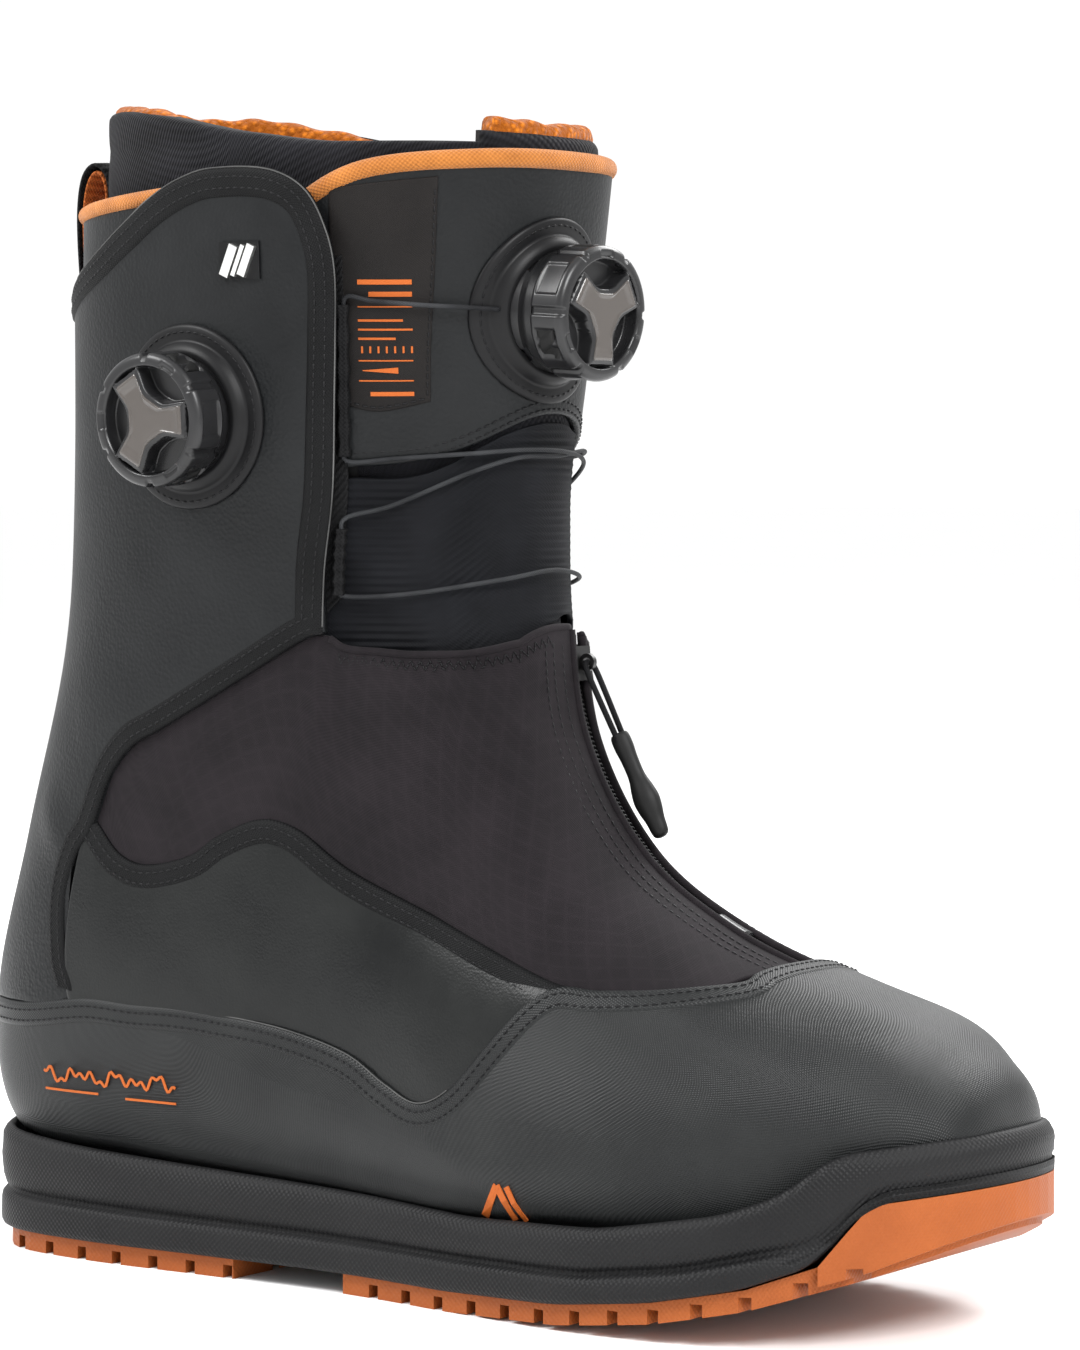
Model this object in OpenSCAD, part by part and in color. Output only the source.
// Snowboard boot, right foot, about size 27.5. Millimetres, +Z up, +X to the toe, -Y to the outer side.
// The origin is on the ground at the middle of the heel tread.

/* [Sole] */
// Depth of the tread lugs
lug_depth = 3.6; // [3:0.1:4]
// Width of the grooves between the lugs
groove_w = 3.2; // [2.4:0.1:4]
// Thickness of the shank plate
shank_t = 1.6; // [1:0.1:2]

/* [Upper] */
// Thickness of the leather panels
leather_t = 2.2; // [1.8:0.1:2.4]
// Thickness of the stretch cover over the laces
cover_t = 1.5; // [1.2:0.1:1.8]
// Thickness of the liner wall
liner_t = 6; // [5:0.5:7]
// Diameter of the closure lace
lace_d = 1.2; // [1:0.1:1.4]

/* [Dials] */
// Radius of the dial knobs
knob_r = 18; // [17:0.5:19]
// Radius of the sewn flange round each dial
flange_r = 24.5; // [23:0.5:25]

/* [Zip] */
// Radius of the arc that the zip follows over the instep
zip_arc_r = 90; // [89.5:0.1:90.5]
// Distance from the zip slider to the end of the pull
pull_len = 52; // [48:1:54]

/* [Hidden] */
$fn = 64;
gap = 0.4;

// Sections of the boot from the toe to the collar. Each row is the back or bottom point (x, z), the front or
// top point (x, z), the middle y, the outer and inner half widths, where along the section it is widest,
// and how square its back and front halves are.
SECTIONS = [
    [248, 47, 248, 47, 9, 0, 0, 0.5, 2.2, 2.2],
    [245, 41, 245, 62, 9, 18, 18, 0.45, 3, 2.2],
    [237, 34, 236, 71, 9, 30, 28, 0.4, 4, 2.3],
    [222, 28, 223, 79, 8, 41, 39, 0.38, 5, 2.4],
    [195, 23, 197, 87, 5, 50, 48, 0.36, 6, 2.4],
    [160, 22, 166, 99, 2, 54, 51, 0.34, 6, 2.3],
    [115, 22, 138, 118, 0, 51, 47, 0.3, 6, 2.3],
    [60, 24, 119, 149, 0, 45, 44, 0.3, 6, 2.4],
    [-5, 26, 114, 186, 0, 45, 46, 0.34, 5.4, 2.4],
    [-52, 30, 114, 216, 0, 46, 48, 0.4, 4, 2.4],
    [-69, 62, 116, 236, 0, 47, 49, 0.46, 2.7, 2.4],
    [-61, 108, 117, 250, 0, 49, 51, 0.5, 2.2, 2.4],
    [-46, 162, 118, 266, 0, 52, 54, 0.5, 2.2, 2.4],
    [-41, 215, 121, 285, 0, 54, 56, 0.5, 2.2, 2.4],
    [-39, 298, 124, 302, 0, 56, 57, 0.5, 2.2, 2.4],
    [-38, 322, 125, 316, 0, 57, 58, 0.5, 2.2, 2.4]
];
TOP = len(SECTIONS) - 1;

// Smooth curve through a list of points, at t from 0 to the last index.
function clampi(i, n) = max(0, min(n, i));
function spline(P, t) =
    let (
        n = len(P) - 1,
        i = clampi(floor(t), n - 1),
        f = t - i,
        a = P[clampi(i - 1, n)],
        b = P[i],
        c = P[i + 1],
        d = P[clampi(i + 2, n)]
    )
    0.5 * (2 * b + (c - a) * f + (2 * a - 5 * b + 4 * c - d) * f * f + (3 * b - a - 3 * c + d) * f * f * f);

// Point of the boot's surface: st is the section number, v the angle round it (0 bottom or back, 90 outer
// side, 180 front or top, 270 inner side) and d the depth under the outer face.
function surf(st, v, d = 0) =
    let (
        r = spline(SECTIONS, clampi(st, TOP)),
        chord = [r[2] - r[0], r[3] - r[1]],
        long = max(norm(chord), 0.001),
        fade = min(1, st / 2),
        dd = min(d * fade, 0.45 * long),
        dir = chord / long,
        back = [r[0], r[1]] + dir * dd,
        toe_shift = d * max(0, 1 - st / 4),
        ca = cos(v),
        sa = abs(sin(v)),
        e = ca >= 0 ? r[8] : r[9],
        t = pow(abs(ca), 2 / e),
        w = pow(sa, 2 / e),
        c = ca >= 0 ? r[7] * (1 - t) : r[7] + (1 - r[7]) * t,
        vm = ((v % 360) + 360) % 360,
        half = vm < 180 ? -max(0, r[5] - dd) : max(0, r[6] - dd),
        run = c * (long - 2 * dd)
    )
    [back[0] + dir[0] * run - toe_shift, r[4] + half * w, back[1] + dir[1] * run];

// Grid solid between an outer and an inner sheet of points.
// Each grid is a list of columns; the outer face looks along (column step) x (row step).
module sheet_solid(outer, inner) {
    ns = len(outer) - 1;
    nt = len(outer[0]) - 1;
    m = nt + 1;
    k = (ns + 1) * m;
    pts = concat([for (c = outer) for (p = c) p], [for (c = inner) for (p = c) p]);
    faces = concat(
        [for (i = [0:ns - 1]) for (j = [0:nt - 1]) each let (a = i * m + j)
            [[a, a + 1, a + m + 1], [a, a + m + 1, a + m]]],
        [for (i = [0:ns - 1]) for (j = [0:nt - 1]) each let (a = k + i * m + j)
            [[a, a + m + 1, a + 1], [a, a + m, a + m + 1]]],
        [for (i = [0:ns - 1]) each let (a = i * m) [[a, a + m, k + a + m], [a, k + a + m, k + a]]],
        [for (i = [0:ns - 1]) each let (a = i * m + nt) [[a, k + a + m, a + m], [a, k + a, k + a + m]]],
        [for (j = [0:nt - 1]) each let (a = j) [[a, k + a + 1, a + 1], [a, k + a, k + a + 1]]],
        [for (j = [0:nt - 1]) each let (a = ns * m + j) [[a, a + 1, k + a + 1], [a, k + a + 1, k + a]]]
    );
    polyhedron(points = pts, faces = faces, convexity = 8);
}

// Panel of the upper between a lower and an upper edge, each a list of (section, angle) points.
// The inner side's panels are given as their outer side twins and mirrored with side = -1.
function edge_at(E, s) = spline(E, s * (len(E) - 1));
function lerp(a, b, t) = a + (b - a) * t;
function side_angle(v, side) = side > 0 ? v : 360 - v;
// Angle v for an even angle u, which moves up the section like a point on a circle.
function angle_of(st, u) =
    u > 180 ? 360 - angle_of(st, 360 - u) :
    let (
        r = spline(SECTIONS, st),
        h = (1 - cos(u)) / 2,
        w = r[7]
    )
    h < w ? acos(pow(1 - h / w, r[8] / 2)) : 180 - acos(pow((h - w) / (1 - w), r[9] / 2));
// Edge list (section, v) from an outline of (section, even angle) points.
EDGE_STEPS = 44;
function even(E) = [for (i = [0:EDGE_STEPS])
    let (q = edge_at(E, i / EDGE_STEPS)) [q[0], angle_of(q[0], q[1])]];
module panel(low, high, ns, nt, d0, d1, side = 1) {
    cols = side > 0 ? [0:ns] : [ns:-1:0];
    function at(i, j, d) =
        let (q = lerp(edge_at(low, i / ns), edge_at(high, i / ns), j / nt))
        surf(q[0], side_angle(q[1], side), d);
    sheet_solid(
        [for (i = cols) [for (j = [0:nt]) at(i, j, d0)]],
        [for (i = cols) [for (j = [0:nt]) at(i, j, d1)]]
    );
}

// Closed sock between two depths, open at the top section. Rings are closer together at the toe.
RINGS = 26;
RING_ANGLES = 30;
module sock(d0, d1, top) {
    stations = concat([for (i = [0:RINGS]) let (q = 15 * pow(i / RINGS, 1.25)) if (q < top - 0.25) q], [top]);
    nu = len(stations) - 1;
    nv = RING_ANGLES;
    function at(i, j, d) = surf(stations[i], 360 * j / nv, d);
    m = nv;
    k = 1 + nu * m;
    shell = function (d) concat([surf(0, 0, d)], [for (i = [1:nu]) for (j = [0:nv - 1]) at(i, j, d)]);
    id = function (b, i, j) b + 1 + (i - 1) * m + (j % m);
    pts = concat(shell(d0), shell(d1));
    faces = concat(
        [for (j = [0:nv - 1]) [0, id(0, 1, j), id(0, 1, j + 1)]],
        [for (j = [0:nv - 1]) [k, id(k, 1, j + 1), id(k, 1, j)]],
        [for (i = [1:nu - 1]) for (j = [0:nv - 1]) each
            [[id(0, i, j), id(0, i + 1, j), id(0, i + 1, j + 1)], [id(0, i, j), id(0, i + 1, j + 1), id(0, i, j + 1)]]],
        [for (i = [1:nu - 1]) for (j = [0:nv - 1]) each
            [[id(k, i, j), id(k, i + 1, j + 1), id(k, i + 1, j)], [id(k, i, j), id(k, i, j + 1), id(k, i + 1, j + 1)]]],
        [for (j = [0:nv - 1]) each
            [[id(0, nu, j), id(k, nu, j), id(k, nu, j + 1)], [id(0, nu, j), id(k, nu, j + 1), id(0, nu, j + 1)]]]
    );
    polyhedron(points = pts, faces = faces, convexity = 8);
}

// Round cord along a list of points.
function unit(a) = a / norm(a);
module tube(P, r, sides = 8, loop = false) {
    n = len(P);
    tan = [for (i = [0:n - 1]) unit(loop ? P[(i + 1) % n] - P[(i + n - 1) % n]
        : P[min(n - 1, i + 1)] - P[max(0, i - 1)])];
    ref = [for (t = tan) abs(t[1]) > 0.8 ? [1, 0, 0.3] : [0, 1, 0]];
    a = [for (i = [0:n - 1]) unit(cross(tan[i], ref[i]))];
    b = [for (i = [0:n - 1]) cross(tan[i], a[i])];
    pts = [for (i = [0:n - 1]) for (j = [0:sides - 1])
        P[i] + r * (cos(360 * j / sides) * a[i] + sin(360 * j / sides) * b[i])];
    last = loop ? n - 1 : n - 2;
    id = function (i, j) (i % n) * sides + (j % sides);
    body = [for (i = [0:last]) for (j = [0:sides - 1]) each
        [[id(i, j), id(i + 1, j + 1), id(i, j + 1)], [id(i, j), id(i + 1, j), id(i + 1, j + 1)]]];
    ends = loop ? [] : [[for (j = [0:sides - 1]) id(0, j)], [for (j = [sides - 1:-1:0]) id(n - 1, j)]];
    polyhedron(points = pts, faces = concat(body, ends), convexity = 8);
}
function along(P, n) = [for (i = [0:n]) spline(P, i / n * (len(P) - 1))];

// ---- sole shape ----
// Half of the sole's outline, heel to toe: x, outer y and inner y.
OUTLINE = [[-66, 0, 0], [-62, -23, 22], [-47, -40, 38], [-15, -46, 44], [30, -46, 45], [75, -47, 48],
    [120, -54, 53], [162, -60, 59], [200, -57, 58], [228, -40, 49], [246, -16, 34], [252, 9, 9]];
OUT_N = len(OUTLINE) - 1;
OUTER_HALF = [for (i = [0:OUT_N]) [OUTLINE[i][0], OUTLINE[i][1]]];
INNER_HALF = [for (i = [OUT_N - 1:-1:1]) [OUTLINE[i][0], OUTLINE[i][2]]];
RING = concat(OUTER_HALF, INNER_HALF);
function ring_pt(t) = let (n = len(RING), i = floor(t), f = t - i,
    a = RING[(i + n - 1) % n], b = RING[i % n], c = RING[(i + 1) % n], d = RING[(i + 2) % n])
    0.5 * (2 * b + (c - a) * f + (2 * a - 5 * b + 4 * c - d) * f * f + (3 * b - a - 3 * c + d) * f * f * f);
RING_STEPS = 88;
function inset_ring(d) = [for (k = [0:RING_STEPS - 1])
    let (t = k * len(RING) / RING_STEPS, p = ring_pt(t),
        g = unit(ring_pt(t + 0.05) - ring_pt(t + len(RING) - 0.05)))
    p + d * [-g[1], g[0]]];
module plan(d) {
    polygon(inset_ring(d));
}

// Heights along the sole, as (x, z).
TREAD = [[-80, 3], [-60, 0.6], [-48, 0], [112, 0], [150, 1.5], [180, 5], [205, 10], [230, 18], [262, 33]];
SOLE_TOP = [[-80, 8], [-60, 5.9], [-48, 5.6], [112, 5.6], [150, 7], [180, 10.5], [205, 15.5], [222, 22],
    [232, 37], [262, 41]];
RIM_TOP = [[-80, 17], [-48, 15.5], [20, 14.5], [80, 14], [120, 14], [160, 15], [190, 19], [222, 30],
    [232, 43], [262, 47]];
RAND_TOP = [[-80, 36], [-20, 32], [20, 30], [70, 28], [120, 26], [165, 28], [200, 34], [215, 38],
    [226, 47], [262, 52]];
CUP_FLOOR = [[-80, 26], [-52, 26], [-30, 24.4], [-5, 24.2], [60, 22.6], [115, 20.8], [160, 20.8], [190, 21],
    [212, 23.6], [226, 27.6], [236, 31.6], [242, 35], [262, 46]];
function reverse(L) = [for (i = [len(L) - 1:-1:0]) L[i]];
function lift(L, dz) = [for (p = L) [p[0], p[1] + dz]];
// Slab between two height lines, across the whole width.
module between(low, high) {
    rotate([90, 0, 0])
        translate([0, 0, -90])
            linear_extrude(180)
                polygon(concat(low, reverse(high)));
}
module band(low, high, inset) {
    intersection() {
        between(low, high);
        translate([0, 0, -5])
            linear_extrude(90)
                plan(inset);
    }
}

HEEL_END = 36;
FORE_START = 74;
function tread_z(x) = lookup(x, TREAD);
module groove(x, w) {
    translate([x - w / 2, -80, tread_z(x) - 12])
        cube([w, 160, 12 + lug_depth]);
}
module rail(x0, x1, y, w) {
    translate([x0, y - w / 2, -5])
        cube([x1 - x0, w, 5 + lug_depth]);
}
module outsole_heel() {
    color("peru") difference() {
        intersection() {
            band(TREAD, lift(SOLE_TOP, -0.05), 3);
            translate([-90, -80, -5])
                cube([90 + HEEL_END, 160, 60]);
        }
        for (x = [-44:13:34])
            groove(x, groove_w);
        rail(-70, HEEL_END + 1, 24, groove_w);
        rail(-70, HEEL_END + 1, -24, groove_w);
    }
}
// The hollow that the upper is cemented into.
module cup() {
    intersection() {
        between(CUP_FLOOR, lift(RAND_TOP, 30));
        translate([0, 0, 5])
            linear_extrude(90)
                plan(4);
    }
}
module outsole_forefoot() {
    color("peru") difference() {
        union() {
            intersection() {
                band(TREAD, lift(SOLE_TOP, -0.05), 3);
                translate([FORE_START, -80, -5])
                    cube([200, 160, 60]);
            }
            intersection() {
                band(lift(TREAD, 1.5), lift(SOLE_TOP, -0.05), 0);
                translate([222, -80, -5])
                    cube([60, 160, 60]);
            }
        }
        for (x = [85:12:230])
            groove(x, groove_w);
        rail(FORE_START - 1, 150, 28, groove_w);
        rail(FORE_START - 1, 150, -28, groove_w);
        cup();
    }
}
SHANK_X0 = 2;
SHANK_X1 = 132;
SHANK_Z = 16;
BULGE_LOW = concat([for (p = RIM_TOP) if (p[0] < 195) [p[0], p[1] + 3]], [[208, 31]]);
BULGE_HIGH = [for (p = RAND_TOP) if (p[0] < 205) [p[0], p[1] - 3]];
module shank_space(grow) {
    translate([SHANK_X0 - grow, -14 - grow, SHANK_Z - grow])
        cube([SHANK_X1 - SHANK_X0 + 2 * grow, 28 + 2 * grow, shank_t + 2 * grow]);
}
module midsole() {
    color("dimgray") difference() {
        union() {
            band(SOLE_TOP, RIM_TOP, 0.4);
            band(lift(RIM_TOP, -3), RAND_TOP, 1.8);
            band(BULGE_LOW, BULGE_HIGH, 0.2);
        }
        cup();
        shank_space(0.1);
        // Opening that the shank plate is laid in through, from the cup's floor.
        translate([SHANK_X0 - 0.1, -14.1, SHANK_Z])
            cube([SHANK_X1 - SHANK_X0 + 0.2, 28.2, 20]);
    }
}
module shank() {
    color("silver") shank_space(0);
}

// ---- upper ----
BOARD_LOW = [[1.75, -34], [3, -34], [5, -34], [7, -35], [8.3, -35], [9.05, -24]];
BOARD_HIGH = [for (p = BOARD_LOW) [p[0], -p[1]]];
module lasting_board() {
    color("tan") panel(BOARD_HIGH, BOARD_LOW, 20, 8, 0, leather_t);
}

// Toe and rand panel: a belt from the heel round the toe and back, between the sole and the upper seam.
VAMP_SEAM = even([[10.2, 6], [9.95, 27], [9.6, 42], [9.05, 57], [8.5, 62], [8, 65], [7.5, 68], [7.05, 68.5],
    [6.72, 65.5], [6.45, 64.5], [6.24, 72.5], [6.04, 89.5], [5.82, 108], [5.62, 118], [5.3, 124], [4.85, 136],
    [4.42, 153]]);
VAMP_FOOT = [[9.25, 7], [9.15, 20], [8.85, 32], [8.45, 37], [8.1, 38.5], [7.7, 38.5], [7.35, 38.5], [7, 38.5],
    [6.65, 38.7], [6.35, 39], [6.05, 39], [5.75, 39], [5.4, 39], [4.9, 39], [4.2, 39], [3.2, 39.3], [1.9, 40]];
function polar(p) = p[0] * [cos(p[1]), sin(p[1])];
function unpolar(q) = [norm(q), (atan2(q[1], q[0]) + 360) % 360];
function belt(half, mid) = concat(
    [for (p = half) polar(p)],
    [polar(mid)],
    [for (p = reverse(half)) polar([p[0], -p[1]])]
);
module vamp() {
    low = belt(VAMP_FOOT, [1.3, 0]);
    high = belt(VAMP_SEAM, [4.36, 180]);
    ns = 54;
    nt = 7;
    function at(i, j, d) =
        let (q = unpolar(lerp(edge_at(low, i / ns), edge_at(high, i / ns), j / nt)))
        surf(q[0], q[1], d);
    color("black") sheet_solid(
        [for (i = [0:ns]) [for (j = [0:nt]) at(i, j, 0)]],
        [for (i = [0:ns]) [for (j = [0:nt]) at(i, j, leather_t)]]
    );
}

function shift(E, ds, dv) = [for (p = E) [p[0] + ds, p[1] + dv]];
QUARTER_LOW = even([[9, 59.8], [8.5, 63.8], [8, 66.8], [7.5, 69.8], [7.08, 70.4], [6.76, 67.6], [6.5, 66.6],
    [6.3, 73.5], [6.1, 90], [5.93, 104], [5.8, 112]]);
QUARTER_HIGH = even([[10.02, 70], [9.6, 74], [9.15, 81.5], [8.88, 90], [8.6, 96], [8.1, 99.3], [7.6, 101],
    [7.1, 105], [6.6, 109.6], [6.2, 113.3], [5.78, 115.8]]);
module quarter(side) {
    panel(QUARTER_LOW, QUARTER_HIGH, 20, 5, 0, leather_t, side);
}
module quarter_lateral() {
    color("black") quarter(1);
}
module quarter_medial() {
    color("black") quarter(-1);
}

COVER_LOW = even([[10.12, 72.3], [9.6, 75.6], [9.17, 83], [8.92, 91.8], [8.62, 97.8], [8.1, 101.2], [7.6, 103],
    [7.1, 107], [6.6, 111.7], [6.2, 115.6], [5.6, 121], [5.1, 131.5], [4.62, 148]]);
COVER_HIGH = even([[10.34, 77.5], [10.33, 82], [10.15, 89], [9.93, 97], [9.68, 107], [9.42, 115.7], [9.05, 120.5],
    [8.7, 126], [8.4, 132], [8.15, 138.5], [7.96, 145.5], [7.83, 153], [7.76, 161.5]]);
ZIP_EDGE = 4.2;
// The closing edge beside the zip takes the last eighth of the columns.
CLOSING_STEPS = 6;
function closed(E, end) = concat(E, [for (k = [1:CLOSING_STEPS]) lerp(E[len(E) - 1], end, k / CLOSING_STEPS)]);
COVER_L_LOW = closed(COVER_LOW, [4.52, 185.5]);
COVER_L_HIGH = closed(COVER_HIGH, [7.75, 185.5]);
COVER_M_LOW = closed(COVER_LOW, [4.56, 165.5]);
COVER_M_HIGH = closed(COVER_HIGH, [7.8, 165.5]);
// Arc of the zip over the instep: centre (x, z), its y, its tilt to the inner side and its angles.
ZIP_C = [203, 180];
ZIP_Y = 10;
ZIP_TILT = 12;
ZIP_A0 = 184;
ZIP_A1 = 246;
// Strip of the given half width between two depths under the zip's arc, from angle a0 to a1.
module zip_strip(half, d0, d1, a0, a1, tilt = ZIP_TILT) {
    translate([ZIP_C[0], ZIP_Y, ZIP_C[1]])
        rotate([90, 0, 0])
            rotate([0, 0, a0])
                rotate_extrude(angle = a1 - a0, $fn = 96)
                    translate([zip_arc_r, 0])
                        rotate([0, 0, -90 - tilt])
                            translate([-half, d0])
                                square([2 * half, d1 - d0]);
}
module lace_cover_lateral() {
    color("#2c2830") difference() {
        panel(COVER_L_LOW, COVER_L_HIGH, 28, 6, 0, cover_t);
        zip_strip(ZIP_EDGE, -8, 8, ZIP_A0 - 4, ZIP_A1);
    }
}
module lace_cover_medial() {
    color("#2c2830") difference() {
        panel(COVER_M_LOW, COVER_M_HIGH, 28, 6, 0, cover_t, -1);
        zip_strip(ZIP_EDGE, -8, 8, ZIP_A0 - 4, ZIP_A1);
    }
}

CUFF_LOW = even([[10.26, 7.5], [10.14, 18], [9.98, 30], [9.67, 42], [9.17, 56.8], [9.55, 62], [9.95, 66.3],
    [10.15, 69], [10.32, 71.5], [10.48, 75], [10.47, 80], [10.3, 87], [10.07, 96], [9.84, 106], [9.58, 116]]);
CUFF_HIGH = [[13.72, 8.5], [13.72, 25], [13.72, 42], [13.78, 55], [13.86, 65], [13.95, 74], [13.97, 84],
    [13.95, 92], [13.87, 101], [13.6, 111]];
SIDE_DIAL_P = [30, -53.2, 234];
FRONT_DIAL_P = [114.6, -5, 262];
// The front dial looks along +X, turned 6 degrees to the outer side and 4 degrees down.
module at_front_dial() {
    translate(FRONT_DIAL_P)
        rotate([0, 0, -6])
            rotate([0, 90 + 4, 0])
                children();
}
// The side dial looks along -Y, 4 degrees down.
module at_side_dial() {
    translate(SIDE_DIAL_P)
        rotate([90 + 4, 0, 0])
            children();
}
DIAL_HOLE_R = 17.4;
module dial_hole(depth) {
    translate([0, 0, -depth])
        cylinder(r = DIAL_HOLE_R, h = 40);
}
module cuff(side) {
    panel(CUFF_LOW, CUFF_HIGH, 26, 9, 0, leather_t, side);
}
module cuff_lateral() {
    color("black") difference() {
        cuff(1);
        at_side_dial() dial_hole(10);
    }
}
module cuff_medial() {
    color("black") cuff(-1);
}
module backstay() {
    color("black") panel(
        [[9.3, -6], [9.3, 0], [9.3, 6]],
        [[13.72, -6], [13.72, 0], [13.72, 6]],
        4, 16, 0, leather_t
    );
}

module toe_puff() {
    color("gray") panel(
        [[1.2, 308], [1.9, 307], [2.6, 304]],
        [[1.2, 52], [1.9, 53], [2.6, 56]],
        6, 18, 4.6, 5.6
    );
}
module heel_counter() {
    color("gray") panel(
        [[9.2, -66], [9.2, -30], [9.4, 0], [9.2, 30], [9.2, 66]],
        [[10.3, -66], [11, -30], [11.2, 0], [11, 30], [10.3, 66]],
        20, 5, 3, 4.6, -1
    );
}
LINING_D = 7.9;
LINER_D = 9.4;
module front_slot(x0, half, z0) {
    translate([x0, -half, z0])
        cube([100, 2 * half, 200]);
}
module shell_lining() {
    color("#333333") difference() {
        sock(LINING_D, LINING_D + 0.7, 13.7);
        front_slot(74, 60, 168);
        at_side_dial() dial_hole(16);
    }
}
module ankle_harness() {
    color("#222222") panel(
        [[8.7, 84], [8.2, 110], [6.9, 140], [6.3, 180], [6.9, 220], [8.2, 250], [8.7, 276]],
        [[9.2, 84], [8.9, 110], [7.6, 140], [7, 180], [7.6, 220], [8.9, 250], [9.2, 276]],
        22, 2, 5.7, 6.4
    );
}

// ---- liner ----
LINER_SLOT = 24;
module liner_wall() {
    sock(LINER_D, LINER_D + liner_t, 14.6);
}
module liner_boot() {
    color("#1c1c1c") difference() {
        liner_wall();
        front_slot(70, LINER_SLOT, 168);
    }
}
module liner_tongue() {
    color("#1c1c1c") difference() {
        intersection() {
            liner_wall();
            front_slot(70 + gap, LINER_SLOT - gap, 168 + gap);
        }
        // Soft foam pressed in behind the dial.
        at_front_dial() translate([0, 0, -5])
            cylinder(r = DIAL_HOLE_R + 1, h = 30);
    }
}
module liner_collar_rear() {
    color("darkorange") panel(
        [[14.64, -144], [14.64, 0], [14.64, 144]],
        [[15, -144], [15, 0], [15, 144]],
        30, 2, LINER_D - 0.5, LINER_D + liner_t + 1.5
    );
}
module liner_collar_tongue() {
    color("darkorange") panel(
        [[14.64, 160], [14.64, 180], [14.64, 200]],
        [[14.95, 160], [14.95, 180], [14.95, 200]],
        8, 3, LINER_D - 0.5, LINER_D + liner_t + 1.5
    );
}
FOOTBED_D = LINER_D + liner_t + 1.2;
module footbed() {
    color("gray") panel(
        [[2.2, 24], [3, 26], [5, 28], [7, 29], [7.8, 27], [8.4, 16]],
        [[2.2, -24], [3, -26], [5, -28], [7, -29], [7.8, -27], [8.4, -16]],
        18, 8, FOOTBED_D, FOOTBED_D + 3
    );
}

// ---- tongue ----
TONGUE_D = 4.2;
TONGUE_LOW = [[11.6, 104], [11.2, 118], [10.2, 148], [10.08, 180], [10.2, 212], [11.2, 242], [11.6, 256]];
TONGUE_HIGH = [[13.6, 100], [13.85, 118], [13.9, 148], [13.9, 180], [13.9, 212], [13.85, 242], [13.6, 260]];
module tongue_shell() {
    color("black") difference() {
        panel(TONGUE_LOW, TONGUE_HIGH, 22, 8, TONGUE_D, TONGUE_D + 2);
        at_front_dial() dial_hole(16);
    }
}
GUSSET_LOW = [[9.2, 108], [8.9, 118], [7.95, 140], [7.75, 165], [7.9, 180], [8.05, 195], [8.15, 220], [8.9, 242],
    [9.2, 252]];
GUSSET_HIGH = [[11.5, 104.5], [11.1, 118], [10.25, 140], [10.02, 165], [10, 180], [10.02, 195], [10.25, 220],
    [11.1, 242], [11.5, 255.5]];
module tongue_gusset() {
    color("#202020") panel(GUSSET_LOW, GUSSET_HIGH, 22, 5, 5.4, 6.2);
}
module tongue_binding() {
    color("darkorange") tube(
        [for (i = [1:23]) let (q = edge_at(TONGUE_HIGH, i / 24)) surf(q[0], q[1], TONGUE_D + 1) + [0, 0, 2.8]],
        2.3, 8
    );
}
module tongue_label() {
    color("#151515") panel(
        [[12, 120], [11.6, 128], [11.3, 137]],
        [[13.4, 118.5], [13.3, 128], [13.2, 137]],
        8, 5, TONGUE_D - 0.5, TONGUE_D - 0.1
    );
}

// ---- trim ----
module collar_binding() {
    color("darkorange") tube(
        [for (i = [0:20]) surf(13.79, -50 + 5 * i, 1.1)],
        2.2, 8
    );
}
module badge() {
    color("silver") translate([49, -55.3, 275])
        rotate([90, 0, 0])
            linear_extrude(1)
                intersection() {
                    square([11.5, 9.5], center = true);
                    circle(r = 6.4);
                }
}
LOOP_OUT = [[-42.9, 258], [-44.6, 284], [-44.6, 296], [-42.6, 304], [-38.4, 307.5], [-34, 305.5], [-31.8, 300],
    [-31.6, 291]];
LOOP_IN = [[-41.3, 258], [-43, 284], [-43, 295.6], [-41.4, 302.6], [-38.2, 305.7], [-35.2, 304.2], [-33.4, 299.6],
    [-33.2, 291]];
module rear_pull_loop() {
    color("#181818") translate([0, 12, 0])
        rotate([90, 0, 0])
            linear_extrude(24)
                polygon(concat(LOOP_OUT, reverse(LOOP_IN)));
}

// ---- lace of the cuff ----
// The guides stand just in front of the cuff's front edge.
function edge_v(st) = 117.6 - (st - 9.66) * 1.675;
LACE_D = 2.4;
function guide_pt(st, side) = surf(st, side_angle(edge_v(st) + 2.4, side), LACE_D);
GUIDE_TOP = [12.9, 11.35];
GUIDE_LOW = [10.46, 9.82];
GUIDE_R = 1.6;
module guide(span, side) {
    ends = [for (k = [0:3]) guide_pt(lerp(span[0], span[1], k / 3), side)];
    bore = [for (k = [-0.2, 1, 2, 3.2]) guide_pt(lerp(span[0], span[1], k / 3), side)];
    difference() {
        tube(ends, GUIDE_R, 10);
        tube(bore, lace_d / 2 + 0.6, 8);
    }
}
module lace_guides_lateral() {
    color("#111111") {
        guide(GUIDE_TOP, 1);
        guide(GUIDE_LOW, 1);
    }
}
module lace_guides_medial() {
    color("#111111") {
        guide(GUIDE_TOP, -1);
        guide(GUIDE_LOW, -1);
    }
}
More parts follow.
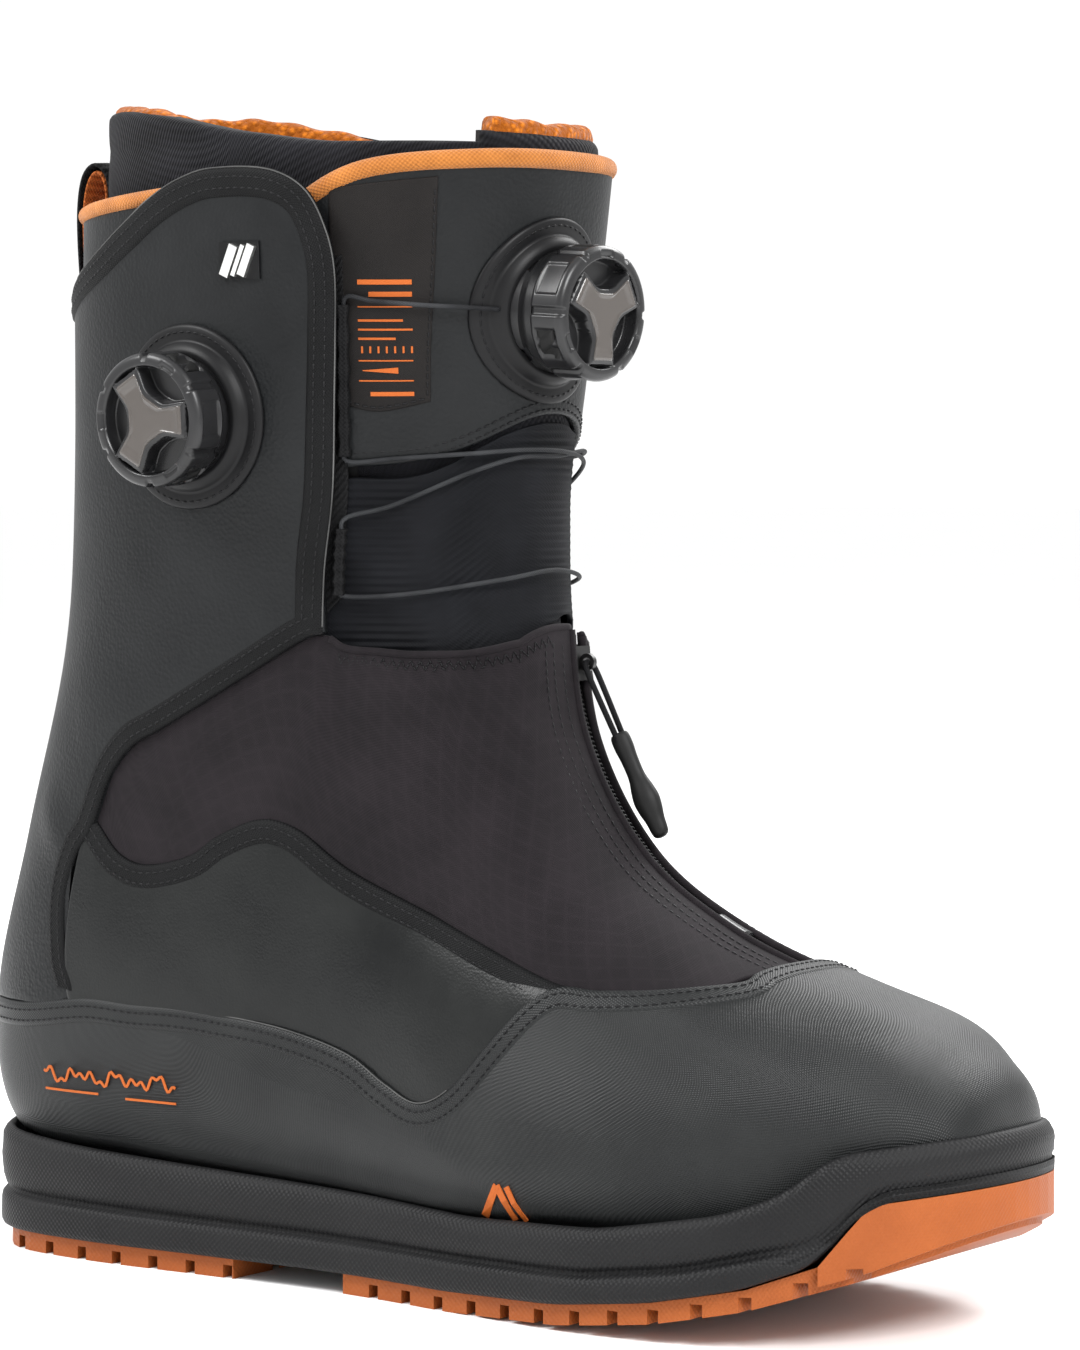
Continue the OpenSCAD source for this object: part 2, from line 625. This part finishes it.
// Route of the cuff lace as section, angle and depth: from the front dial down the outer guide, across to the
// inner side, across again at the bottom, back up and into the dial's other side.
function half_route(s) = [
    [12, 156, 0.8], [12.2, 146, 0.8], [12.5, 133, 1.3], [12.8, 121, 2], [12.95, edge_v(12.95) + 2.8, LACE_D],
    [12.7, edge_v(12.7) + 2.4, LACE_D], [12.1, edge_v(12.1) + 2.4, LACE_D], [11.5, edge_v(11.5) + 2.4, LACE_D],
    [11.25, edge_v(11.25) + 2.8, LACE_D], [10.8, 130, 3], [10, 150, 2.4], [9.6, 165, 1.6], [9.4, 180, s]
];
function low_route() = [
    [9.5, 195, 1.6], [9.75, 210, 2.4], [10.2, 230, 3], [10.58, 360 - edge_v(10.58) - 2.8, LACE_D],
    [10.35, 360 - edge_v(10.35) - 2.4, LACE_D], [9.9, 360 - edge_v(9.9) - 2.4, LACE_D],
    [9.68, 360 - edge_v(9.68) - 3, LACE_D], [9.0, 225, 2.4], [8.35, 200, 1.8], [8.25, 180, 1.7]
];
function turn(R) = [for (p = reverse(R)) [p[0], 360 - p[1], p[2]]];
LACE_A = concat(half_route(0.4), low_route());
LACE_B = turn(concat(half_route(2.2), low_route()));
// The last point carries the inner end over the flange to the dial, which sits to the outer side.
LACE_ROUTE = concat(LACE_A, [for (i = [1:len(LACE_B) - 1]) LACE_B[i]], [[12, 193, 0.8]]);
module cuff_lace() {
    color("gray") tube(
        along([for (p = LACE_ROUTE) surf(p[0], p[1], p[2])], 104),
        lace_d / 2, 8
    );
}
HARNESS_LACE = [[12, 92, 5], [11.4, 93, 5], [10.6, 92, 5], [10, 89.5, 5.1], [9.6, 87.5, 5.6], [9.3, 85.5, 6]];
module harness_lace() {
    color("gray") tube(along([for (p = HARNESS_LACE) surf(p[0], p[1], p[2])], 14), lace_d / 2, 8);
}

// ---- zip ----
PULL_A = 188;
module zip_tape() {
    color("#101010") zip_strip(4, 3.05, 3.5, ZIP_A0, ZIP_A1);
}
module zip_chain() {
    color("#202020") zip_strip(1.6, 1.2, 3, ZIP_A0 + 0.5, ZIP_A1);
}
module zip_garage() {
    color("#404040") difference() {
        zip_strip(3.7, -0.6, 2.5, ZIP_A1 - 4, ZIP_A1);
        zip_strip(1.9, 1, 4, ZIP_A1 - 5, ZIP_A1 + 1);
    }
}
EYE_R = zip_arc_r - 3;
module zip_slider() {
    color("dimgray") difference() {
        union() {
            zip_strip(3.5, -0.8, 2.3, PULL_A - 3, PULL_A + 3);
            eye_plate(2.4);
        }
        zip_strip(2, 0.8, 4, PULL_A - 4, PULL_A + 4);
        eye_plate(1.3, 4);
    }
}
// Disc at the slider's eye, along Y.
module eye_plate(r, t = 1.4) {
    translate(EYE)
        rotate([90, 0, 0])
            cylinder(r = r, h = t, center = true);
}
EYE = [ZIP_C[0] + EYE_R * cos(PULL_A), ZIP_Y - 0.6, ZIP_C[1] + EYE_R * sin(PULL_A)];
PULL_LEAN = 27.5;
module at_pull() {
    translate(EYE)
        rotate([0, -PULL_LEAN, 0])
            children();
}
// Loop of cord through the eye, both ends in the grip. Points are (y, z) from the eye.
CORD_LOOP = [[-1.6, -26], [-1.9, -18], [-2.2, -9], [-2.2, -3], [-1.6, -0.4], [0, 0], [1.6, -0.4], [2.2, -3],
    [2.2, -9], [1.9, -18], [1.6, -26]];
CORD_R = 0.8;
module zip_pull_cord() {
    color("#202020") at_pull()
        tube(along([for (p = CORD_LOOP) [0, p[0], p[1]]], 44), CORD_R, 8);
}
GRIP_TOP = -22;
module zip_pull_grip() {
    color("#181818") at_pull()
        difference() {
            translate([0, 2.8, 0])
                rotate([90, 0, 0])
                    linear_extrude(5.6)
                        polygon([[-1.6, GRIP_TOP], [-2.6, GRIP_TOP - 3], [-2.4, GRIP_TOP - 12], [-3.2, GRIP_TOP - 17],
                            [-3, GRIP_TOP - 24], [-1.8, -pull_len], [1.8, -pull_len], [3, GRIP_TOP - 24],
                            [3.2, GRIP_TOP - 17], [2.4, GRIP_TOP - 12], [2.6, GRIP_TOP - 3], [1.6, GRIP_TOP]]);
            for (y = [-1.65, 1.65])
                translate([0, y, GRIP_TOP - 5])
                    cylinder(r = CORD_R + 0.3, h = 6);
        }
}

// ---- dials, built along +Z from the panel they are sewn to ----
HOUSING_R = 17;
BORE_R = 13;
POST_R = 2.9;
module flange_cut() {
    difference() {
        translate([0, 0, -12])
            cylinder(r = flange_r, h = 24);
        translate([0, 0, -13])
            cylinder(r = DIAL_HOLE_R, h = 26);
    }
}
module front_flange() {
    color("#222222") intersection() {
        panel([[10.5, 148], [10.5, 180], [10.5, 214]], [[13.6, 148], [13.6, 180], [13.6, 214]],
            14, 10, TONGUE_D - 2.4, TONGUE_D - 0.3);
        at_front_dial() flange_cut();
    }
}
module side_flange() {
    color("#222222") intersection() {
        panel([[11.3, 60], [11.3, 86], [11.3, 112]], [[13.9, 60], [13.9, 86], [13.9, 112]], 12, 8, -2.4, -0.3);
        at_side_dial() flange_cut();
    }
}
module dial_housing() {
    color("#181818") difference() {
        union() {
            translate([0, 0, -4.4])
                cylinder(r = HOUSING_R, h = 7.4);
            translate([0, 0, 3])
                cylinder(r = 15.6, h = 3.4);
        }
        translate([0, 0, -3])
            difference() {
                cylinder(r = BORE_R, h = 12);
                translate([0, 0, -1])
                    cylinder(r = POST_R, h = 6);
            }
        translate([0, 0, -2.6])
            cylinder(r = 1.2, h = 10);
        // Ratchet teeth round the bore.
        for (k = [0:23])
            rotate([0, 0, 15 * k])
                translate([BORE_R - 0.4, -0.7, 2.4])
                    cube([1.2, 1.4, 5]);
        // Bayonet notches and the two lace ports.
        for (k = [0:3])
            rotate([0, 0, 90 * k + 45])
                translate([HOUSING_R - 1, -2.2, 0.8])
                    cube([2, 4.4, 3]);
        for (a = [-90, 90])
            rotate([0, 0, a])
                translate([BORE_R - 1, 0, -0.9])
                    rotate([0, 90, 0])
                        cylinder(r = 0.9, h = 8, $fn = 24);
    }
}
module dial_spool() {
    color("#303030") difference() {
        union() {
            translate([0, 0, -2.8])
                cylinder(r = 11.6, h = 0.8);
            translate([0, 0, -2.8])
                cylinder(r = 8.4, h = 4.8);
            translate([0, 0, 1.2])
                cylinder(r = 11.6, h = 0.8);
        }
        translate([0, 0, -4])
            cylinder(r = POST_R + 0.05, h = 8);
        // Room for the spring under the spool.
        translate([0, 0, -3])
            cylinder(r = 7.4, h = 2.4);
    }
}
SPRING_TURNS = 3;
SPRING_STEPS = 60;
function coil_pt(k, dr) = let (t = k / SPRING_STEPS, a = 360 * SPRING_TURNS * t)
    (3.5 + 3 * t + dr) * [cos(a), sin(a)];
module dial_spring() {
    color("silver") translate([0, 0, -2.7])
        linear_extrude(1.7)
            polygon(concat([for (k = [0:SPRING_STEPS]) coil_pt(k, 0.3)],
                [for (k = [SPRING_STEPS:-1:0]) coil_pt(k, 0)]));
}
module dial_drive() {
    color("#404040") difference() {
        union() {
            translate([0, 0, 2.4])
                cylinder(r = 9, h = 2.6);
            // Pawl arms that run on the ratchet teeth.
            for (k = [0:2])
                rotate([0, 0, 120 * k])
                    translate([0, -2, 2.6])
                        intersection() {
                            cube([14, 4, 2.2]);
                            translate([0, 2, 0])
                                cylinder(r = 12.8, h = 3);
                        }
            translate([0, 0, 5])
                cylinder(r = 5, h = 7);
        }
        translate([0, 0, 2])
            cylinder(r = 1.3, h = 11);
    }
}
module dial_screw() {
    color("silver") difference() {
        union() {
            translate([0, 0, -2])
                cylinder(r = 1.15, h = 14.2);
            translate([0, 0, 12.2])
                cylinder(r = 3, h = 1.3);
        }
        translate([0, 0, 12.8])
            cylinder(r = 1.2, h = 2, $fn = 6);
    }
}
KNOB_Z = 7;
KNOB_H = 11.6;
GRIPS = 6;
module grip_pocket(grow) {
    for (k = [0:GRIPS - 1])
        rotate([0, 0, 360 / GRIPS * k])
            translate([knob_r - 1.4 - grow, -5 - grow, KNOB_Z + 2 - grow])
                cube([6, 10 + 2 * grow, 7 + 2 * grow]);
}
module dial_knob() {
    color("#202020") difference() {
        union() {
            translate([0, 0, KNOB_Z])
                cylinder(r = knob_r, h = KNOB_H - 1.6);
            translate([0, 0, KNOB_Z + KNOB_H - 1.6])
                cylinder(r1 = knob_r, r2 = knob_r - 1.6, h = 1.6);
        }
        translate([0, 0, KNOB_Z - 1])
            cylinder(r = 15.8, h = 2.6);
        translate([0, 0, KNOB_Z - 1])
            cylinder(r = 5.05, h = 8.2);
        grip_pocket(0.1);
        // Finger scallops between the grips.
        for (k = [0:GRIPS - 1])
            rotate([0, 0, 360 / GRIPS * (k + 0.5)])
                translate([knob_r + 2.2, 0, KNOB_Z + 1])
                    cylinder(r = 3.4, h = 20, $fn = 32);
        translate([0, 0, KNOB_Z + KNOB_H - 1.8])
            cap_shape(0.1, 4);
    }
}
module dial_grips() {
    color("#0c0c0c") intersection() {
        grip_pocket(0);
        cylinder(r = knob_r + 0.4, h = 30);
    }
}
// Three-lobed window on the knob's face.
module cap_shape(grow, h) {
    linear_extrude(h) {
        circle(r = 7.4 + grow);
        for (k = [0:2])
            rotate([0, 0, 120 * k])
                translate([0, -3 - grow])
                    square([12 + grow, 6 + 2 * grow]);
    }
}
module dial_cap() {
    color([0.6, 0.6, 0.6, 0.5]) translate([0, 0, KNOB_Z + KNOB_H - 1.7])
        cap_shape(0, 2.3);
}
module front_housing() {
    at_front_dial() dial_housing();
}
module front_spool() {
    at_front_dial() dial_spool();
}
module front_spring() {
    at_front_dial() dial_spring();
}
module front_drive() {
    at_front_dial() dial_drive();
}
module front_knob() {
    at_front_dial() dial_knob();
}
module front_grips() {
    at_front_dial() dial_grips();
}
module front_cap() {
    at_front_dial() dial_cap();
}
module front_screw() {
    at_front_dial() dial_screw();
}
module side_housing() {
    at_side_dial() dial_housing();
}
module side_spool() {
    at_side_dial() dial_spool();
}
module side_spring() {
    at_side_dial() dial_spring();
}
module side_drive() {
    at_side_dial() dial_drive();
}
module side_knob() {
    at_side_dial() dial_knob();
}
module side_grips() {
    at_side_dial() dial_grips();
}
module side_cap() {
    at_side_dial() dial_cap();
}
module side_screw() {
    at_side_dial() dial_screw();
}

outsole_heel();
outsole_forefoot();
midsole();
shank();
lasting_board();
vamp();
quarter_lateral();
quarter_medial();
lace_cover_lateral();
lace_cover_medial();
cuff_lateral();
cuff_medial();
backstay();
toe_puff();
heel_counter();
shell_lining();
ankle_harness();
harness_lace();
liner_boot();
liner_tongue();
liner_collar_rear();
liner_collar_tongue();
footbed();
tongue_shell();
tongue_gusset();
tongue_binding();
tongue_label();
collar_binding();
badge();
rear_pull_loop();
cuff_lace();
lace_guides_lateral();
lace_guides_medial();
zip_tape();
zip_chain();
zip_garage();
zip_slider();
zip_pull_cord();
zip_pull_grip();
front_flange();
front_housing();
front_spool();
front_spring();
front_drive();
front_knob();
front_grips();
front_cap();
front_screw();
side_flange();
side_housing();
side_spool();
side_spring();
side_drive();
side_knob();
side_grips();
side_cap();
side_screw();
